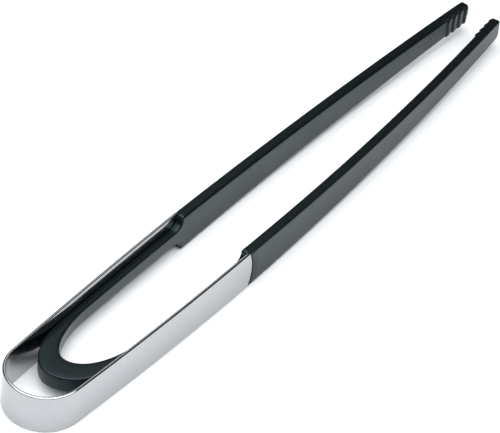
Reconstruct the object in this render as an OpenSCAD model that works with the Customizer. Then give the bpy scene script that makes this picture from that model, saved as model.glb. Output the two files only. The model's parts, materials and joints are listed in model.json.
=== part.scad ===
// Spring loaded kitchen tongs, lying on one side.
// A sprung steel strip bent into a U is the spring and the handle. A nylon
// moulding lines the bend, runs along the inside of the strip and carries on
// past its ends as the two arms. The moulding and the strip flex at the bend,
// so each is made in three: the bend, and one piece for each swinging side.
// +X runs from the bend to the tips, +Y towards the left arm, +Z up from the
// surface that the tongs lie on. The origin is under the middle of the tongs.
// Shapes are drawn from the back of the bend, at mid height, then put in place.

/* [Overall] */
// Length from the back of the bend to the tips
length = 300; // [260:1:330]

/* [Steel strip] */
// Width of the strip, which stands upright when the tongs lie on one side
strip_w = 17.2; // [16.8:0.1:20]
// Thickness of the strip
strip_t = 1.3; // [1:0.1:1.5]
// Outside radius of the bend
bow_r = 16; // [15:0.1:16.2]
// Distance from the back of the bend to the middle of the strip's rounded ends
strip_end_x = 117; // [112:1:124]
// Radius of the strip's rounded ends
strip_end_r = 19; // [14:0.5:40]

/* [Curve of each side] */
// Widest point of the left side, from the centre line
left_half_w = 16.9; // [16.4:0.1:18.5]
// Radius of the left side's long curve
left_curve_r = 3260; // [2600:10:4500]
// Widest point of the right side, from the centre line
right_half_w = 19.2; // [17.5:0.1:20]
// Radius of the right side's long curve
right_curve_r = 1630; // [1500:10:2600]

/* [Nylon moulding] */
// Height of the bend and of the rails inside the strip
rail_h = 6.8; // [5:0.1:9]
// Thickness of the bend at its back
bow_web = 10.2; // [6:0.1:12]
// Distance of the back of the bend from the centre line, towards the left side
bow_shift = 1.2; // [0:0.1:1.5]
// Open space between the steel bend and the nylon bend
loop_l = 17.4; // [12:0.1:20]
// Distance from the back of the bend to where the rails begin
rail_x = 57; // [54:1:64]
// Height of each arm where it leaves the strip
arm_h_root = 16.6; // [14:0.1:16.6]
// Height of each arm at its tip
arm_h_tip = 8.8; // [6:0.1:12]
// Distance from the strip's outer face to the inner face of the rails
arm_t_root = 4.4; // [3.8:0.1:5]
// Thickness of each arm at its tip
arm_t_tip = 3.9; // [3.2:0.1:4.5]
// Radius of the upper corner of each tip, seen from the side
tip_r_upper = 1; // [0.5:0.1:2.8]
// Radius of the lower corner of each tip, seen from the side
tip_r_lower = 2.6; // [1:0.1:2.8]

/* [Grip ridges] */
// Length of each ridge
ridge_pitch = 3.8; // [2.5:0.1:4]
// Height of the ridges
ridge_h = 0.6; // [0.3:0.1:0.8]
// Number of whole ridges behind the rounded tip
ridge_count = 3; // [2:1:5]

/* [Anchor studs] */
// Radius of each stud's shank
stud_r = 1.3; // [1:0.1:1.6]
// Radius of each stud's head
stud_head_r = 2.1; // [1.8:0.1:2.6]
// Length of each stud
stud_l = 2.1; // [1.8:0.1:2.2]

/* [Hidden] */

LEFT = 1;
RIGHT = -1;
steel = [0.78, 0.79, 0.80];
stud_steel = [0.66, 0.67, 0.69];
nylon = [0.10, 0.11, 0.12];

fit_gap = 0.05;         // between pieces of one side
spare = 2;              // how far cutting shapes reach past what they cut
flex_gap = 0.1;         // where a piece was cut across the bend
bow_gap = 0.3;          // between the nylon bend and the strip beside it
leg_taper_x = 42;       // where the nylon bend meets the line of the strip
step_r_in = 4.4;        // hollow of the step from rail to arm
step_r_out = 1.2;       // crest of the step from rail to arm
step_turn = 80;         // steepest slope of the step, in degrees
step_lead = 1.5;        // from the crest of the step to the strip's end
nose_r_out = 1;         // outer corner of the tip, seen from above
nose_r_in = 1.4;        // inner corner of the tip, seen from above
ridge_overlap = 0.4;    // how far the last ridge runs into the rounded tip
ridge_rise = 0.3;       // share of each ridge that is its steep side
ridge_cuts = 10;        // flats along each ridge
arm_cuts = 36;          // flats along each arm, up to the ridges
side_cuts = 24;         // flats along each leg and round the nylon bend
rail_cuts = 4;          // flats where the nylon bend lies along the strip
nose_cuts = 6;          // flats round the tip, seen from above
least_cut = 0.1;        // shortest flat
arc_turn = 10;          // from point to point of the small arcs, in degrees
taper_run = 3;          // first flat of the nylon bend along the strip
stud_places = [92, 106];
stud_head_h = 0.6;
weld_gap = 0.02;
round_fn = 96;

step_l = (step_r_in + step_r_out) * sin(step_turn);
step_x = strip_end_x - step_lead - step_l;
ridge_x = length - (ridge_count + 1) * ridge_pitch + ridge_overlap;
middle_y = (left_half_w - right_half_w) / 2;

// The long curve of a side is one circle, tangent to the circle of the bend.
function half_w(side) = side == LEFT ? left_half_w : right_half_w;
function curve_r(side) = side == LEFT ? left_curve_r : right_curve_r;
function widest_x(side) =
    bow_r + sqrt(pow(curve_r(side) - bow_r, 2) - pow(curve_r(side) - half_w(side), 2));
function bow_turn(side) = asin((bow_r - widest_x(side)) / (curve_r(side) - bow_r));
function leg_x(side) = bow_r + bow_r * sin(bow_turn(side));
function turn(side, x) = asin((x - widest_x(side)) / curve_r(side));

// The point of a side at x, at a depth inward from its outer face
function side_point(side, x, depth) =
    let (r = curve_r(side), a = turn(side, x))
    [widest_x(side) + (r - depth) * sin(a),
     side * (half_w(side) - r + (r - depth) * cos(a))];

function stations(x0, x1, count) = [for (i = [0:count]) x0 + (x1 - x0) * i / count];
function backwards(list) = [for (i = [len(list) - 1:-1:0]) list[i]];

// How far a corner of radius r cuts in at x, when it ends at x_end
function corner_cut(x, x_end, r) =
    x < x_end - r ? 0 : r - sqrt(max(0, r * r - pow(x - x_end + r, 2)));

// How proud the ridges stand at x. Each one is steep on the side towards the
// bend and slopes gently to the tip.
function ridge(x) =
    let (turns = (x - ridge_x) / ridge_pitch, share = turns - floor(turns))
    x < ridge_x ? 0
    : share < ridge_rise ? ridge_h * sin(90 * share / ridge_rise)
    : ridge_h * cos(90 * (share - ridge_rise) / (1 - ridge_rise));
function ridge_stations() =
    [for (i = [1:ridge_cuts * (ridge_count + 1)])
        let (x = ridge_x + i * ridge_pitch / ridge_cuts)
        if (x < length - nose_r_in - least_cut) x];

// Depth of the arm's inner and outer faces, with the ridges and the round nose
function plain_depth(x) =
    let (share = max(0, (x - strip_end_x) / (length - strip_end_x)))
    arm_t_root + (arm_t_tip - arm_t_root) * share;
function inner_depth(x) = plain_depth(x) + ridge(x) - corner_cut(x, length, nose_r_in);
function outer_depth(x) = corner_cut(x, length, nose_r_out);

// Half of the arm's outline seen from the side, as [x, z] points
function step_points() = concat(
    [for (a = [0:arc_turn:step_turn])
        [step_x + step_r_in * sin(a), rail_h / 2 + step_r_in * (1 - cos(a))]],
    [for (a = [step_turn:-arc_turn:0])
        [step_x + step_l - step_r_out * sin(a),
         arm_h_root / 2 - step_r_out * (1 - cos(a))]]);
function tip_points(corner_r) =
    [for (a = [0:arc_turn:90])
        [length - corner_r * (1 - sin(a)),
         arm_h_tip / 2 - corner_r * (1 - cos(a))]];
function arm_half(corner_r) =
    concat([[rail_x, rail_h / 2]], step_points(), tip_points(corner_r));

// A flat outline that follows one side, between two depths
module ribbon(side, xs, depth_out, depth_in) {
    outer = [for (x = xs) side_point(side, x, depth_out)];
    inner = [for (x = xs) side_point(side, x, depth_in)];
    polygon(concat(outer, backwards(inner)));
}

module upright(height) {
    translate([0, 0, -height / 2])
    linear_extrude(height)
    children();
}

// Turns an outline of [x, z] into a wall across the whole width of the tongs
module across() {
    width = 2 * max(left_half_w, right_half_w) + 2 * spare;
    translate([0, width / 2, 0])
    rotate([90, 0, 0])
    linear_extrude(width)
    children();
}

module put_in_place() {
    translate([-length / 2, -middle_y, strip_w / 2])
    children();
}

// The strip seen from the side, with its round end, grown all round by a gap
module strip_outline(gap) {
    reach = strip_end_x + gap;
    high = strip_w + 2 * gap;
    straight = strip_end_x - strip_end_r;
    translate([-spare, -high / 2])
    square([straight + spare, high]);
    intersection() {
        translate([straight - spare, -high / 2])
        square([reach - straight + spare, high]);
        translate([straight, 0])
        circle(r = strip_end_r + gap, $fn = 2 * round_fn);
    }
}

module strip_side(side, x_start, depth_out, depth_in, gap) {
    intersection() {
        upright(strip_w + 2 * spare)
        ribbon(side, stations(x_start, strip_end_x + spare, side_cuts), depth_out, depth_in);
        across()
        strip_outline(gap);
    }
}

module stud(grow) {
    cylinder(r = stud_r + grow, h = stud_l, $fn = round_fn / 2);
    translate([0, 0, stud_l - stud_head_h - grow])
    cylinder(r = stud_head_r + grow, h = stud_head_h + 2 * grow, $fn = round_fn / 2);
}

// Studs stand on the strip's inner face and point at the other side
module studs(side, grow) {
    for (x = stud_places) {
        foot = side_point(side, x, strip_t + weld_gap);
        translate([foot[0], foot[1], 0])
        rotate([0, 0, -side * turn(side, x)])
        rotate([side * 90, 0, 0])
        stud(grow);
    }
}

// Quarter of an ellipse, from the back of the nylon bend out to one side
function quarter_ellipse(x_back, x_centre, y_side, count) =
    [for (i = [0:count])
        let (a = 90 * i / count)
        [x_centre - (x_centre - x_back) * cos(a),
         bow_shift + (y_side - bow_shift) * sin(a)]];

// The nylon bend's outer and inner edges, from its back out to one side's rail
function nylon_bow_outer(side) =
    let (depth = strip_t + bow_gap)
    concat(
        quarter_ellipse(strip_t + loop_l, leg_taper_x,
                        side_point(side, leg_taper_x, depth)[1], side_cuts),
        [for (x = stations(leg_taper_x + taper_run, rail_x - flex_gap, rail_cuts))
            side_point(side, x, depth)]);
function nylon_bow_inner(side) =
    quarter_ellipse(strip_t + loop_l + bow_web, rail_x - flex_gap,
                    side_point(side, rail_x, arm_t_root)[1], side_cuts);

// A list without its first point
function rest_of(list) = [for (i = [1:len(list) - 1]) list[i]];

module arm(side) {
    xs = concat(stations(rail_x, ridge_x, arm_cuts), ridge_stations(),
                stations(length - nose_r_in, length, nose_cuts));
    outline = concat([for (x = xs) side_point(side, x, outer_depth(x))],
                     backwards([for (x = xs) side_point(side, x, inner_depth(x))]));
    upper = arm_half(tip_r_upper);
    lower = [for (p = arm_half(tip_r_lower)) [p[0], -p[1]]];
    difference() {
        intersection() {
            upright(strip_w)
            polygon(outline);
            across()
            polygon(concat(upper, backwards(lower)));
        }
        strip_side(side, rail_x - spare, -spare, strip_t + fit_gap, fit_gap);
        studs(side, fit_gap);
    }
}

module spring_leg(side) {
    strip_side(side, leg_x(side) + flex_gap, 0, strip_t, 0);
}

module spring_bow() {
    first = 90 - bow_turn(LEFT);
    last = 270 + bow_turn(RIGHT);
    color(steel)
    put_in_place()
    translate([bow_r, 0, 0])
    rotate([0, 0, first])
    rotate_extrude(angle = last - first, $fn = 2 * round_fn)
    translate([bow_r - strip_t, -strip_w / 2])
    square([strip_t, strip_w]);
}

module left_spring_leg() {
    color(steel)
    put_in_place()
    spring_leg(LEFT);
}

module right_spring_leg() {
    color(steel)
    put_in_place()
    spring_leg(RIGHT);
}

module nylon_bow() {
    color(nylon)
    put_in_place()
    upright(rail_h)
    polygon(concat(backwards(nylon_bow_outer(LEFT)),
                   rest_of(nylon_bow_outer(RIGHT)),
                   backwards(nylon_bow_inner(RIGHT)),
                   rest_of(nylon_bow_inner(LEFT))));
}

module left_arm() {
    color(nylon)
    put_in_place()
    arm(LEFT);
}

module right_arm() {
    color(nylon)
    put_in_place()
    arm(RIGHT);
}

module left_anchor_studs() {
    color(stud_steel)
    put_in_place()
    studs(LEFT, 0);
}

module right_anchor_studs() {
    color(stud_steel)
    put_in_place()
    studs(RIGHT, 0);
}

spring_bow();
left_spring_leg();
right_spring_leg();
nylon_bow();
left_arm();
right_arm();
left_anchor_studs();
right_anchor_studs();
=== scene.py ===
"""Spring loaded kitchen tongs, lying on one side on a pale floor.

The steel strip and the nylon moulding are one piece each in life, and both flex at the bend. Each is
made here as a left and a right half. The halves meet at the back of the bend, and each one curves
round from there into its own side, the part that swings.

Shapes are worked out in millimetres in the tongs' own frame: x runs from the back of the bend to the
tips, y from the centre line to the left side, and z from mid height. place() puts them in the frame.
"""

import json
import math
from typing import NamedTuple

import bmesh
import bpy
from mathutils import Euler, Matrix, Vector


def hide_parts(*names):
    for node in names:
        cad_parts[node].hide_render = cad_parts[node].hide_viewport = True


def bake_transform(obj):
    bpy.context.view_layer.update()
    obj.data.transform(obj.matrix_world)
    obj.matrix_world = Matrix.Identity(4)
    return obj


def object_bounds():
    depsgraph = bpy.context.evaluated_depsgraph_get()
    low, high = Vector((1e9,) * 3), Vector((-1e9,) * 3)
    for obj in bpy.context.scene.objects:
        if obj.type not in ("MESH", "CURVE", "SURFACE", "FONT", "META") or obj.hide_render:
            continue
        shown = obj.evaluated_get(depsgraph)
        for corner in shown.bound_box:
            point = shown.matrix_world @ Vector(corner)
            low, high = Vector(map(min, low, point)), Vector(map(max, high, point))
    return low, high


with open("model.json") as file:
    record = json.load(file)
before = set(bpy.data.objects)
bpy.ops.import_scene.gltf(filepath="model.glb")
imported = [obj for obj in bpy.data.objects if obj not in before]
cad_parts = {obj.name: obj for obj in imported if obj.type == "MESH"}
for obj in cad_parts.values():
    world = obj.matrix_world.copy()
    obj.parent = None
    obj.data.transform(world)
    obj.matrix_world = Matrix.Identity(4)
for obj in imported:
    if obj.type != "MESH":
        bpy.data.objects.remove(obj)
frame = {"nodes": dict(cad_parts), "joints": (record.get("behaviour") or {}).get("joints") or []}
cad_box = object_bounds()

MM = 0.001
HINGE = frame["joints"][0]["pos_m"]
ORIGIN = Vector((cad_box[0].x, HINGE[1], HINGE[2]))

# The whole, in millimetres
LENGTH = 300.0
BOW_R = 16.0

# Steel strip
STRIP_W = 17.2
STRIP_T = 1.3
STRIP_EDGE_R_OUTER = 0.6
STRIP_EDGE_R_INNER = 0.3
STRIP_CORNER_R = 0.9
STRIP_END_X = 117.0
STRIP_END_R = 19.0

# Nylon moulding
LOOP_L = 17.4
BOW_WEB = 10.2
BOW_TAPER_X = 42.0
BOW_SHIFT = 1.2
RAIL_X = 57.0
RAIL_H = 6.8
RAIL_GAP = 0.1
ARM_H_ROOT = 16.6
ARM_H_TIP = 8.8
ARM_T_ROOT = 4.4
ARM_T_TIP = 3.9
STEP_R_IN = 4.4
STEP_R_OUT = 1.2
STEP_TURN = math.radians(80)
STEP_LEAD = 1.5
SEAM_GAP = 0.2
SEAM_LIP = 0.25
EDGE_R_HIDDEN = 0.3
EDGE_R_OUTER = 0.6
EDGE_R_INNER = 1.0
TIP_R_UPPER = 1.0
TIP_R_LOWER = 2.6
NOSE_L = 5.0
NOSE_R_OUTER = 0.9
NOSE_R_INNER = 1.4
RIDGE_PITCH = 3.8
RIDGE_H = 0.6
RIDGE_COUNT = 3  # whole ridges; the end of the tip cuts one more short
RIDGE_OVERLAP = 0.4  # what it cuts off that one
RIDGE_RISE = 0.3  # the steep share of each ridge

# How one shape runs into the next
BULGE_LEAD = 12.0  # this far before the strip's end, the arm's sections start to take on its curve
BULGE_FULL = 3.0  # this far before it, they follow it fully
BULGE_FADE = 20.0  # this far past it, they are straight again
RAIL_EDGE_FADE = 20.0  # this far before the rail, the bend's outer edges start to get sharper
LIP_ROUND = 0.3  # the middle of the recess's rounded lip, as a share of SEAM_LIP
LIP_CLEAR = 1.5  # where the arm's own outline goes on past the recess, in multiples of SEAM_LIP

# How finely the meshes are cut
BOW_STEPS = 72
BOW_FINE_STEPS = 4 * BOW_STEPS
LEG_STEPS = 48
STRIP_CORNER_STEPS = 8
STRIP_END_STEPS = 16
RAIL_STEPS = 20
STEP_IN_STEPS = 16
STEP_OUT_STEPS = 10
ARM_STEPS = 40
TIP_UPPER_STEPS = 8
TIP_LOWER_STEPS = 14
TIP_END_STEPS = 4
EDGE_STEPS = 6
FACE_STEPS = 5
TOP_STEPS = 3
RIDGE_SHARES = (0.02, 0.07, 0.14, 0.22, 0.3, 0.41, 0.53, 0.65, 0.76, 0.86, 0.93, 0.98, 1.0)
SEAM_SLIVER = 0.02
WELD = 1e-7
SMOOTH_ANGLE = math.radians(35)

# Materials
GRAIN_UV = "grain"
NOISE_LOW = 0.3  # most of a noise node's values lie between these two
NOISE_HIGH = 0.7

# Camera: its place in metres, its turn about x, y and z in degrees, and its lens in millimetres
CAMERA_PLACE = (-0.974311, -0.624652, 1.027405)
CAMERA_TURN = (48.3598, -4.2440, -53.2773)
CAMERA_LENS = 288.07
CAMERA_SHIFT = (0.0005, -0.0095)


def stations(first, last, count):
    """count + 1 evenly spaced values from first to last."""
    return [first + (last - first) * i / count for i in range(count + 1)]


def with_sliver(values):
    """The values, with one more just after the first, so that the two halves shade alike at the seam."""
    return [values[0], values[0] + (values[1] - values[0]) * SEAM_SLIVER, *values[1:]]


def smooth_share(x, x0, x1):
    """0 before x0, 1 after x1, and a smooth rise between them."""
    t = min(1.0, max(0.0, (x - x0) / (x1 - x0)))
    return t * t * (3 - 2 * t)


class Place(NamedTuple):
    """A place on the outer face of a side: the point, the way into the tongs and the way to the tips."""

    foot: Vector
    inward: Vector
    along: Vector


class Side(NamedTuple):
    """One side of the tongs. Its long curve is one circle, tangent to the circle of the bend."""

    name: str
    sign: int
    half_w: float
    curve_r: float

    @property
    def body(self):
        return f"{self.name}_side"

    @property
    def widest_x(self):
        reach = self.curve_r - BOW_R
        return BOW_R + math.sqrt(reach**2 - (self.curve_r - self.half_w) ** 2)

    @property
    def bow_end(self):
        """Where the bend turns into the long curve, as an angle from the direction of the tips."""
        return math.pi / 2 - math.asin((BOW_R - self.widest_x) / (self.curve_r - BOW_R))

    def on_bow(self, angle):
        out = Vector((math.cos(angle), self.sign * math.sin(angle)))
        along = Vector((math.sin(angle), -self.sign * math.cos(angle)))
        return Place(Vector((BOW_R, 0)) + out * BOW_R, -out, along)

    def on_leg(self, x):
        turn = math.asin((x - self.widest_x) / self.curve_r)
        out = Vector((math.sin(turn), self.sign * math.cos(turn)))
        along = Vector((math.cos(turn), -self.sign * math.sin(turn)))
        centre = Vector((self.widest_x, self.sign * (self.half_w - self.curve_r)))
        return Place(centre + out * self.curve_r, -out, along)

    def point(self, x, depth):
        foot, inward, _ = self.on_leg(x)
        return foot + inward * depth


LEFT = Side("left", 1, 16.9, 3260.0)
RIGHT = Side("right", -1, 19.2, 1630.0)


class Edge(NamedTuple):
    """The edge of a bar: its height from mid height, and its outward direction, as (along, up)."""

    z: float
    lean: tuple = (0.0, 1.0)


class Rib(NamedTuple):
    """One cross-section of a bar with rounded edges. The lower edge is the upper one's mirror image,
    unless it is given.

    outer and inner are the feet of its two faces in plan, and the _in vectors point from each face
    into the bar."""

    outer: Vector
    outer_in: Vector
    inner: Vector
    inner_in: Vector
    along: Vector
    upper: Edge
    lower: Edge = None
    r_outer: float = STRIP_EDGE_R_OUTER
    r_inner: float = STRIP_EDGE_R_INNER
    bulge: float = 0.0


def end_curve(z):
    """How far the strip's round end falls back at height z."""
    return STRIP_END_R - math.sqrt(STRIP_END_R**2 - z**2)


def edge_arc(rib, edge, foot, inward, radius):
    """The rounded edge from a face to the top, as (plan point, height)."""
    points = []
    for angle in stations(0, math.pi / 2, EDGE_STEPS):
        drop = radius * (1 - math.sin(angle))
        back = radius * (1 - math.cos(angle))
        plan = foot + inward * back - rib.along * (edge.lean[0] * drop)
        points.append((plan, edge.z - edge.lean[1] * drop))
    return points


def face_line(rib, edge_point):
    """The upright line on a face, from mid height up to the point where its rounded edge starts."""
    plan, high = edge_point
    line = []
    for i in range(FACE_STEPS):
        z = high * i / FACE_STEPS
        shift = rib.bulge * (end_curve(high) - end_curve(z))
        line.append((plan + rib.along * shift, z))
    return line


def half_ring(rib, edge):
    """From mid height up the outer face, over the edge, and down the inner face."""
    outer = edge_arc(rib, edge, rib.outer, rib.outer_in, rib.r_outer)
    inner = edge_arc(rib, edge, rib.inner, rib.inner_in, rib.r_inner)
    (plan_a, high), (plan_b, _) = outer[-1], inner[-1]
    top = [(plan_a.lerp(plan_b, i / TOP_STEPS), high) for i in range(1, TOP_STEPS)]
    return face_line(rib, outer[0]) + outer + top + inner[::-1] + face_line(rib, inner[0])[::-1]


def ring(rib):
    """All points of a rib, round its section: up the outer face, over the top, down and back below."""
    lower = half_ring(rib, rib.lower or rib.upper)
    return half_ring(rib, rib.upper) + [(plan, -z) for plan, z in lower[-2:0:-1]]


def distances_round(points):
    """How far round its section each point of a ring is from the first one, and the whole way round."""
    distances = [0.0]
    for (plan_a, z_a), (plan_b, z_b) in zip(points, points[1:] + points[:1]):
        distances.append(distances[-1] + math.hypot((plan_b - plan_a).length, z_b - z_a))
    return distances


def place(plan, z):
    """A point of the tongs' own frame, in metres in the shared frame."""
    return ORIGIN + Vector((plan.x, plan.y, z)) * MM


def loft(name, ribs):
    """A closed mesh through all the ribs. Its UVs run round the section and along the bar."""
    bm = bmesh.new()
    uv = bm.loops.layers.uv.new(GRAIN_UV)
    rings = [ring(rib) for rib in ribs]
    verts = [[bm.verts.new(place(plan, z)) for plan, z in points] for points in rings]
    arounds = [distances_round(points) for points in rings]
    count = len(rings[0])
    run = 0.0
    for i in range(len(ribs) - 1):
        step = (ribs[i + 1].outer - ribs[i].outer).length
        for k in range(count):
            after = (k + 1) % count
            face = bm.faces.new((verts[i][k], verts[i][after], verts[i + 1][after], verts[i + 1][k]))
            start, end = (arounds[i][k], arounds[i][k + 1]), (arounds[i + 1][k], arounds[i + 1][k + 1])
            corners = ((start[0], run), (start[1], run), (end[1], run + step), (end[0], run + step))
            for loop, corner in zip(face.loops, corners):
                loop[uv].uv = corner
        run += step
    for k in range(count // 2):
        corners = [verts[0][k], verts[0][k + 1], verts[0][-k - 1], verts[0][-k % count]]
        bm.faces.new(list(dict.fromkeys(corners)))
    bmesh.ops.remove_doubles(bm, verts=bm.verts, dist=WELD)
    bmesh.ops.recalc_face_normals(bm, faces=bm.faces)
    mesh = bpy.data.meshes.new(name)
    bm.to_mesh(mesh)
    bm.free()
    mesh.shade_smooth()
    mesh.set_sharp_from_angle(angle=SMOOTH_ANGLE)
    piece = bpy.data.objects.new(name, mesh)
    bpy.context.scene.collection.objects.link(piece)
    return piece


def strip_rib(spot, edge=Edge(STRIP_W / 2)):
    inner = spot.foot + spot.inward * STRIP_T
    return Rib(spot.foot, spot.inward, inner, -spot.inward, spot.along, edge)


def strip_end_outline():
    """(x, edge) round the corner and the round end of the strip's upper half."""
    centre_x = STRIP_END_X - STRIP_END_R
    corner_z = STRIP_W / 2 - STRIP_CORNER_R
    corner_x = centre_x + math.sqrt((STRIP_END_R - STRIP_CORNER_R) ** 2 - corner_z**2)
    meet = math.atan2(corner_z, corner_x - centre_x)
    outline = []
    for angle in stations(math.pi / 2, meet, STRIP_CORNER_STEPS):
        lean = (math.cos(angle), math.sin(angle))
        z = corner_z + STRIP_CORNER_R * lean[1]
        outline.append((corner_x + STRIP_CORNER_R * lean[0], Edge(z, lean)))
    for angle in stations(meet, 0, STRIP_END_STEPS)[1:]:
        lean = (math.cos(angle), math.sin(angle))
        outline.append((centre_x + STRIP_END_R * lean[0], Edge(STRIP_END_R * lean[1], lean)))
    return outline


def strip_ribs(side):
    bow = with_sliver(stations(math.pi, side.bow_end, BOW_STEPS))
    ribs = [strip_rib(side.on_bow(angle)) for angle in bow]
    leg_x = ribs[-1].outer.x
    outline = strip_end_outline()
    for x in stations(leg_x, outline[0][0], LEG_STEPS)[1:-1]:
        ribs.append(strip_rib(side.on_leg(x)))
    for x, edge in outline:
        ribs.append(strip_rib(side.on_leg(x), edge))
    return ribs


def quarter_ellipse(x_back, x_side, y_side, count):
    """From the back of the nylon bend round to one side."""
    return [
        Vector((
            x_side - (x_side - x_back) * math.cos(a),
            BOW_SHIFT + (y_side - BOW_SHIFT) * math.sin(a),
        ))
        for a in stations(0, math.pi / 2, count)
    ]


def evenly(path, shares):
    """Points at the given shares of the length of a path."""
    lengths = [0.0]
    for a, b in zip(path, path[1:]):
        lengths.append(lengths[-1] + (b - a).length)
    points = []
    i = 0
    for share in shares:
        want = share * lengths[-1]
        while i < len(path) - 2 and lengths[i + 1] < want:
            i += 1
        points.append(path[i].lerp(path[i + 1], (want - lengths[i]) / (lengths[i + 1] - lengths[i])))
    return points


def headings(path, first, last):
    """The direction of a path at each of its points. Its ends head as given."""
    middle = [(b - a).normalized() for a, b in zip(path, path[2:])]
    return [first, *middle, last]


def nylon_bow_ribs(side):
    """The bend of the moulding, from its back out to the start of the rail."""
    rail = side.on_leg(RAIL_X)
    depth = STRIP_T + RAIL_GAP
    back_x = STRIP_T + LOOP_L
    beside = [side.point(x, depth) for x in stations(BOW_TAPER_X, RAIL_X, BOW_FINE_STEPS)]
    outer = quarter_ellipse(back_x, BOW_TAPER_X, beside[0].y, BOW_FINE_STEPS) + beside[1:]
    inner_end = side.point(RAIL_X, ARM_T_ROOT)
    inner = quarter_ellipse(back_x + BOW_WEB, inner_end.x, inner_end.y, BOW_FINE_STEPS)
    shares = with_sliver(stations(0, 1, BOW_STEPS))
    outer, inner = evenly(outer, shares), evenly(inner, shares)
    sideways = Vector((0, side.sign))
    ribs = []
    ways = zip(outer, headings(outer, sideways, rail.along), inner, headings(inner, sideways, rail.along))
    for o, o_way, i, i_way in ways:
        o_in = Vector((o_way.y, -o_way.x)) * side.sign
        i_in = Vector((-i_way.y, i_way.x)) * side.sign
        hidden = smooth_share(o.x, RAIL_X - RAIL_EDGE_FADE, RAIL_X)
        r_outer = EDGE_R_OUTER + (EDGE_R_HIDDEN - EDGE_R_OUTER) * hidden
        ribs.append(Rib(o, o_in, i, i_in, o_way, Edge(RAIL_H / 2), None, r_outer, EDGE_R_INNER))
    return ribs


def tip_edge(x, crest_x, radius):
    """The arm's edge at x, past the step, where a corner of that radius rounds the tip."""
    corner_x = LENGTH - radius
    fall = (ARM_H_ROOT - ARM_H_TIP) / 2 * min(1.0, (x - crest_x) / (corner_x - crest_x))
    ahead = max(0.0, (x - corner_x) / radius)
    lean = (ahead, math.sqrt(max(0.0, 1 - ahead**2)))
    return Edge(ARM_H_ROOT / 2 - fall - radius * (1 - lean[1]), lean)


def tip_corner(radius, count):
    """Places round a corner of the tip, at even turns."""
    return [LENGTH - radius * (1 - math.sin(a)) for a in stations(0, math.pi / 2, count)]


def arm_outline():
    """(x, upper edge, lower edge) of the arm, from the rail over the step to the rounded tip."""
    step_l = (STEP_R_IN + STEP_R_OUT) * math.sin(STEP_TURN)
    crest_x = STRIP_END_X - STEP_LEAD
    step_x = crest_x - step_l
    outline = [(x, Edge(RAIL_H / 2)) for x in stations(RAIL_X, step_x, RAIL_STEPS)[1:-1]]
    for a in stations(0, STEP_TURN, STEP_IN_STEPS):
        z = RAIL_H / 2 + STEP_R_IN * (1 - math.cos(a))
        outline.append((step_x + STEP_R_IN * math.sin(a), Edge(z, (-math.sin(a), math.cos(a)))))
    for a in stations(STEP_TURN, 0, STEP_OUT_STEPS)[1:]:
        z = ARM_H_ROOT / 2 - STEP_R_OUT * (1 - math.cos(a))
        outline.append((crest_x - STEP_R_OUT * math.sin(a), Edge(z, (-math.sin(a), math.cos(a)))))
    outline = [(x, edge, None) for x, edge in outline]
    ridge_x = first_ridge_x()
    corner_x = LENGTH - TIP_R_LOWER
    straight = stations(crest_x, ridge_x, ARM_STEPS)[1:] + ridge_stations(ridge_x, corner_x)
    lower_corner = tip_corner(TIP_R_LOWER, TIP_LOWER_STEPS)
    upper_corner = tip_corner(TIP_R_UPPER, TIP_UPPER_STEPS)
    rounded = lower_corner[1:] + upper_corner[:-1]
    for x in straight + sorted(rounded):
        upper, lower = tip_edge(x, crest_x, TIP_R_UPPER), tip_edge(x, crest_x, TIP_R_LOWER)
        outline.append((x, upper, lower))
    for share in stations(1, 0, TIP_END_STEPS)[1:]:
        outline.append((LENGTH, Edge(upper.z * share, upper.lean), Edge(lower.z * share, lower.lean)))
    return outline


def first_ridge_x():
    """Where the ridge nearest the bend starts."""
    return LENGTH - (RIDGE_COUNT + 1) * RIDGE_PITCH + RIDGE_OVERLAP


def ridge_stations(start, end):
    """Places along the ridges, close together where each one meets the next."""
    places = []
    for i in range(RIDGE_COUNT + 1):
        for share in RIDGE_SHARES:
            x = start + (i + share) * RIDGE_PITCH
            if x < end:
                places.append(x)
    return places + [end]


def ridge(x):
    """How proud the ridges stand at x. Each one rises steeply and slopes gently to the tip."""
    turn = (x - first_ridge_x()) / RIDGE_PITCH
    share = turn % 1
    if turn < 0:
        return 0.0
    if share < RIDGE_RISE:
        return RIDGE_H * math.sin(math.pi / 2 * share / RIDGE_RISE)
    return RIDGE_H * math.cos(math.pi / 2 * (share - RIDGE_RISE) / (1 - RIDGE_RISE))


def arm_rib(side, x, upper, lower, covered):
    """A rib of the rail, arm or tip. Where it is covered, the strip lies on its outer face."""
    spot = side.on_leg(x)
    share = max(0.0, (x - STRIP_END_X) / (LENGTH - STRIP_END_X))
    inner = ARM_T_ROOT + (ARM_T_TIP - ARM_T_ROOT) * share + ridge(x)
    outer = STRIP_T + RAIL_GAP if covered else 0.0
    nose = smooth_share(x, LENGTH - NOSE_L, LENGTH)
    r_outer = EDGE_R_OUTER + (NOSE_R_OUTER - EDGE_R_OUTER) * nose
    r_inner = EDGE_R_INNER + (NOSE_R_INNER - EDGE_R_INNER) * nose
    if covered:
        r_outer = EDGE_R_HIDDEN
    bulge_in = smooth_share(x, STRIP_END_X - BULGE_LEAD, STRIP_END_X - BULGE_FULL)
    bulge_out = smooth_share(x, STRIP_END_X, STRIP_END_X + BULGE_FADE)
    outer_foot = spot.foot + spot.inward * outer
    inner_foot = spot.foot + spot.inward * inner
    return Rib(outer_foot, spot.inward, inner_foot, -spot.inward, spot.along, upper, lower,
               r_outer, r_inner, bulge_in * (1 - bulge_out))


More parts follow.
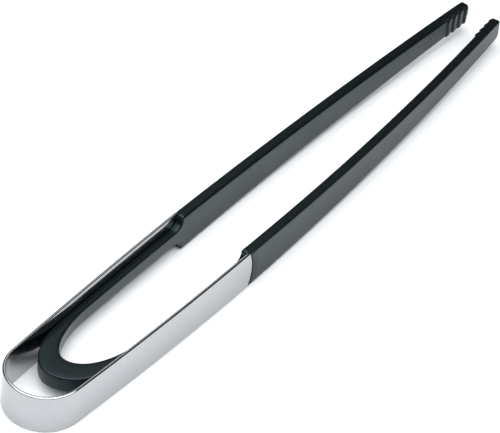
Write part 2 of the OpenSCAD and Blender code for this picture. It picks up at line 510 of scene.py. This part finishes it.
def arm_ribs(side):
    """The rail, step, arm and tip, with the recess that the strip's end lies in."""
    wall_x = STRIP_END_X + SEAM_GAP - end_curve(ARM_H_ROOT / 2 - EDGE_R_OUTER)
    top = Edge(ARM_H_ROOT / 2)
    outline = arm_outline()
    ribs = [arm_rib(side, *spot, True) for spot in outline if spot[0] < wall_x]
    ribs.append(arm_rib(side, wall_x, top, None, True))
    lip_round = SEAM_LIP * LIP_ROUND
    for back, depth in ((0, SEAM_LIP), (lip_round, lip_round), (SEAM_LIP, 0)):
        rib = arm_rib(side, wall_x + back, top, None, False)
        ribs.append(rib._replace(outer=rib.outer + rib.outer_in * depth))
    clear_x = wall_x + SEAM_LIP * LIP_CLEAR
    ribs += [arm_rib(side, *spot, False) for spot in outline if spot[0] > clear_x]
    return ribs


def nodes_of(material):
    material.use_nodes = True
    tree = material.node_tree
    return tree.nodes, tree.links, tree.nodes["Principled BSDF"]


def noise(nodes, links, vector, scale, detail, rough=0.5):
    node = nodes.new("ShaderNodeTexNoise")
    node.inputs["Scale"].default_value = scale
    node.inputs["Detail"].default_value = detail
    node.inputs["Roughness"].default_value = rough
    links.new(vector, node.inputs["Vector"])
    return node.outputs["Fac"]


def stretched(nodes, links, vector, scale):
    node = nodes.new("ShaderNodeMapping")
    node.inputs["Scale"].default_value = scale
    links.new(vector, node.inputs["Vector"])
    return node.outputs["Vector"]


def ranged(nodes, links, value, low, high):
    node = nodes.new("ShaderNodeMapRange")
    node.inputs["From Min"].default_value = NOISE_LOW
    node.inputs["From Max"].default_value = NOISE_HIGH
    node.inputs["To Min"].default_value = low
    node.inputs["To Max"].default_value = high
    links.new(value, node.inputs["Value"])
    return node.outputs["Result"]


def between(nodes, links, share, color_a, color_b):
    node = nodes.new("ShaderNodeMix")
    node.data_type = "RGBA"
    node.inputs["A"].default_value = (*color_a, 1)
    node.inputs["B"].default_value = (*color_b, 1)
    links.new(share, node.inputs["Factor"])
    return node.outputs["Result"]


def bump(nodes, links, height, strength, distance):
    node = nodes.new("ShaderNodeBump")
    node.inputs["Strength"].default_value = strength
    node.inputs["Distance"].default_value = distance
    links.new(height, node.inputs["Height"])
    return node.outputs["Normal"]


def satin_steel():
    """Satin stainless steel. The fine grain runs along the strip, round the bend and all."""
    material = bpy.data.materials.new("satin_steel")
    nodes, links, shader = nodes_of(material)
    strip_place = nodes.new("ShaderNodeUVMap")
    strip_place.uv_map = GRAIN_UV
    vector = strip_place.outputs["UV"]
    lengthwise = stretched(nodes, links, vector, scale=(5.0, 0.12, 1.0))
    grain = noise(nodes, links, lengthwise, scale=1.0, detail=3)
    cloud = noise(nodes, links, vector, scale=0.09, detail=3)
    speckle = noise(nodes, links, vector, scale=0.9, detail=4, rough=0.65)
    tangent = nodes.new("ShaderNodeTangent")
    tangent.direction_type = "UV_MAP"
    tangent.uv_map = GRAIN_UV
    links.new(tangent.outputs["Tangent"], shader.inputs["Tangent"])
    color = between(nodes, links, speckle, (0.35, 0.358, 0.37), (0.49, 0.499, 0.51))
    links.new(color, shader.inputs["Base Color"])
    links.new(ranged(nodes, links, cloud, low=0.13, high=0.18), shader.inputs["Roughness"])
    links.new(bump(nodes, links, grain, strength=0.15, distance=0.00001), shader.inputs["Normal"])
    shader.inputs["Metallic"].default_value = 1.0
    shader.inputs["Anisotropic"].default_value = 0.4
    return material


def black_nylon():
    """Moulded black nylon with a fine matt texture and slightly polished patches."""
    material = bpy.data.materials.new("black_nylon")
    nodes, links, shader = nodes_of(material)
    vector = nodes.new("ShaderNodeTexCoord").outputs["Object"]
    fine = noise(nodes, links, vector, scale=1500, detail=3, rough=0.6)
    broad = noise(nodes, links, vector, scale=70, detail=3)
    color = between(nodes, links, broad, (0.002, 0.003, 0.0033), (0.0035, 0.0048, 0.0052))
    links.new(color, shader.inputs["Base Color"])
    links.new(ranged(nodes, links, broad, low=0.28, high=0.35), shader.inputs["Roughness"])
    links.new(bump(nodes, links, fine, strength=0.5, distance=0.0001), shader.inputs["Normal"])
    links.new(ranged(nodes, links, fine, low=0.30, high=0.50), shader.inputs["Specular IOR Level"])
    shader.inputs["Specular Tint"].default_value = (0.62, 0.87, 0.97, 1)
    return material


def stud_steel():
    """Plain turned steel, finely mottled."""
    material = bpy.data.materials.new("stud_steel")
    nodes, links, shader = nodes_of(material)
    vector = nodes.new("ShaderNodeTexCoord").outputs["Object"]
    mottle = noise(nodes, links, vector, scale=3000, detail=2)
    color = between(nodes, links, mottle, (0.60, 0.61, 0.63), (0.70, 0.71, 0.73))
    links.new(color, shader.inputs["Base Color"])
    links.new(ranged(nodes, links, mottle, low=0.3, high=0.45), shader.inputs["Roughness"])
    shader.inputs["Metallic"].default_value = 1.0
    return material


def floor_paint():
    material = bpy.data.materials.new("floor_paint")
    nodes, links, shader = nodes_of(material)
    shader.inputs["Base Color"].default_value = (0.90, 0.925, 0.94, 1)
    shader.inputs["Roughness"].default_value = 0.9
    shader.inputs["Specular IOR Level"].default_value = 0.1
    return material


def make_half_strip(side, material):
    """Half the strip. It starts at the back of the bend, where it meets the other half."""
    piece = loft(f"steel_strip_{side.name}_half", strip_ribs(side))
    piece.data.materials.append(material)
    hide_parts("spring_bow", f"{side.name}_spring_leg")
    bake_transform(piece)


def make_half_moulding(side, material):
    """Half the moulding. It starts at the back of the bend, where it meets the other half."""
    piece = loft(f"nylon_moulding_{side.name}_half", nylon_bow_ribs(side) + arm_ribs(side))
    piece.data.materials.append(material)
    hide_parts("nylon_bow", f"{side.name}_arm")
    flank = side.point(BOW_TAPER_X, STRIP_T)
    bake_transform(piece)


def finish_studs(side, material):
    """The studs keep the CAD's shape and get a better material."""
    studs = frame["nodes"][f"{side.name}_anchor_studs"]
    studs.data.materials.clear()
    studs.data.materials.append(material)


def make_camera():
    camera = bpy.data.cameras.new("camera")
    camera.sensor_width = 36
    camera.lens = CAMERA_LENS
    camera.shift_x, camera.shift_y = CAMERA_SHIFT
    camera.clip_start, camera.clip_end = 0.05, 20
    turn = Euler([math.radians(angle) for angle in CAMERA_TURN])
    shot = bpy.data.objects.new("camera", camera)
    shot.matrix_world = Matrix.Translation(CAMERA_PLACE) @ turn.to_matrix().to_4x4()
    bpy.context.scene.collection.objects.link(shot)
    bpy.context.scene.camera = shot


def area_light(name, position, target, size, power):
    light = bpy.data.lights.new(name, "AREA")
    light.shape = "RECTANGLE"
    light.size, light.size_y = size
    light.energy = power
    lamp = bpy.data.objects.new(name, light)
    lamp.location = position
    lamp.rotation_mode = "QUATERNION"
    lamp.rotation_quaternion = (Vector(target) - Vector(position)).to_track_quat("-Z", "Y")
    bpy.context.scene.collection.objects.link(lamp)


def make_stage():
    bpy.ops.mesh.primitive_plane_add(size=8, location=(0, 0, 0))
    floor = bpy.context.object
    floor.name = "floor"
    floor.data.materials.append(floor_paint())
    world = bpy.data.worlds.new("studio")
    bpy.context.scene.world = world
    world.use_nodes = True
    sky = world.node_tree.nodes["Background"]
    sky.inputs["Color"].default_value = (0.95, 0.97, 1.0, 1)
    sky.inputs["Strength"].default_value = 0.04
    bpy.context.scene.view_settings.view_transform = "Standard"
    area_light("overhead", (-0.5, -0.25, 1.3), target=(-0.5, -0.25, 0), size=(2.2, 2.4), power=56)
    area_light("card", (0.74, 0.58, 0.95), target=(0.74, 0.58, 0), size=(0.36, 0.16), power=0.3)


steel = satin_steel()
nylon = black_nylon()
stud = stud_steel()
for side in (LEFT, RIGHT):
    make_half_strip(side, steel)
    make_half_moulding(side, nylon)
    finish_studs(side, stud)
make_stage()
make_camera()
